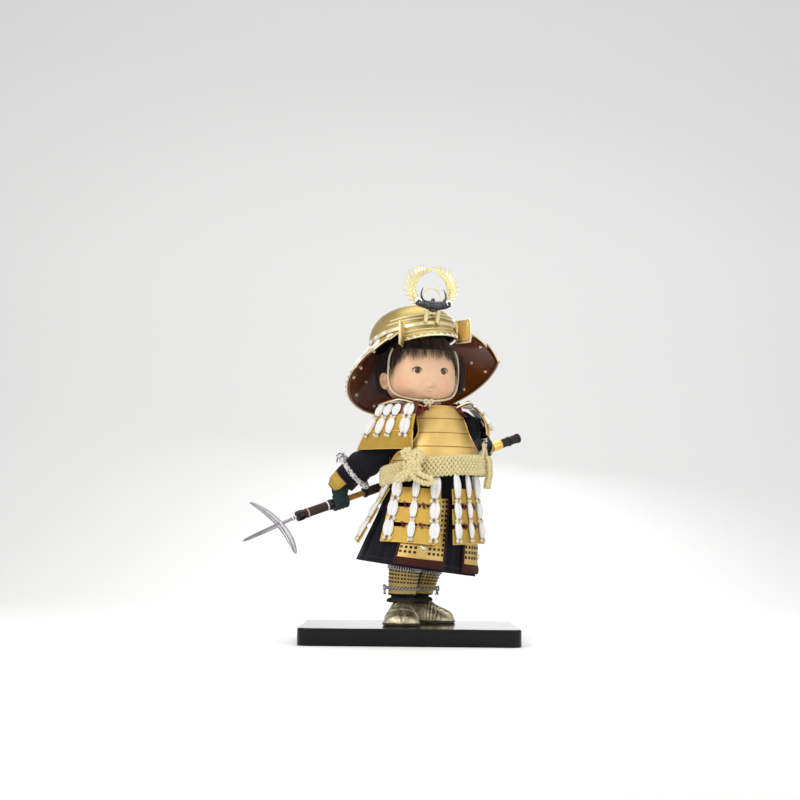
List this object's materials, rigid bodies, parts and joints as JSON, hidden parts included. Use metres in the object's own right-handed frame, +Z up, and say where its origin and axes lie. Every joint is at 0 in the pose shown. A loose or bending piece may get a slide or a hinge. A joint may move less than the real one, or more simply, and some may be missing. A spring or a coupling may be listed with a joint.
{
  "type": "samurai doll",
  "caption": "Child doll in gold samurai armour with a crested helmet, laced skirt panels and a cross-bladed spear, standing on a rounded black lacquered board.",
  "frame": {"origin": "middle of the base board's underside", "axes": "+Z up; the doll faces -Y with its body turned a little towards +X; +X to the doll's left, the side the spear's butt points to"},
  "size_m": [0.2256, 0.1508, 0.2982],
  "materials": {
    "black_lacquer": "mirror-gloss black lacquer",
    "cream_cord": "knitted cream cord",
    "dark_metal": "dark gunmetal",
    "gold_armour": "satin gold",
    "hair": "dark brown fibre",
    "navy_cloth": "matte navy cloth",
    "skin": "satin painted resin",
    "pale_gold": "satin pale brass",
    "lining": "plain cloth",
    "eye_glass": "dark glass",
    "glove": "dark teal cloth",
    "white_cord": "white silk cord",
    "shoe_leather": "polished bronze leather",
    "brown_lacquer": "glossy brown lacquer",
    "steel": "polished steel",
    "shaft_wood": "orange-gold lacquer with black bound grips"
  },
  "bodies": {
    "root": {"base_board": "black_lacquer", "chin_cord": "cream_cord", "crest_horns": "dark_metal", "crest_wreath": "gold_armour", "cuirass_back": "gold_armour", "cuirass_front": "gold_armour", "hair": "hair", "hakama": "navy_cloth", "head": "skin", "helmet_bowl": "pale_gold", "helmet_liner": "lining", "helmet_peak": "pale_gold", "left_eye": "eye_glass", "left_hand": "glove", "left_hand_plate": "pale_gold", "left_leg": "navy_cloth", "left_shin_cord": "white_cord", "left_shin_guard": "gold_armour", "left_shoe": "shoe_leather", "left_shoulder_guard": "gold_armour", "left_sleeve": "navy_cloth", "left_sleeve_cord": "white_cord", "left_thigh_guard": "gold_armour", "left_turnback": "gold_armour", "neck_guard_lower": "gold_armour", "neck_guard_middle": "gold_armour", "neck_guard_upper": "gold_armour", "right_eye": "eye_glass", "right_hand": "glove", "right_hand_plate": "pale_gold", "right_leg": "navy_cloth", "right_shin_cord": "white_cord", "right_shin_guard": "gold_armour", "right_shoe": "shoe_leather", "right_shoulder_guard": "gold_armour", "right_sleeve": "navy_cloth", "right_sleeve_cord": "white_cord", "right_thigh_guard": "gold_armour", "right_turnback": "gold_armour", "sash": "cream_cord", "sash_knot": "cream_cord", "shoulder_yoke": "brown_lacquer", "spear_blade": "steel", "spear_shaft": "shaft_wood", "tasset_back_left_lame_1": "gold_armour", "tasset_back_left_lame_2": "gold_armour", "tasset_back_left_lame_3": "gold_armour", "tasset_back_right_lame_1": "gold_armour", "tasset_back_right_lame_2": "gold_armour", "tasset_back_right_lame_3": "gold_armour", "tasset_front_lame_1": "gold_armour", "tasset_front_lame_2": "gold_armour", "tasset_front_lame_3": "gold_armour", "tasset_front_left_lame_1": "gold_armour", "tasset_front_left_lame_2": "gold_armour", "tasset_front_left_lame_3": "gold_armour", "tasset_right_lame_1": "gold_armour", "tasset_right_lame_2": "gold_armour", "tasset_right_lame_3": "gold_armour", "torso": "lining"}
  },
  "joints": []
}
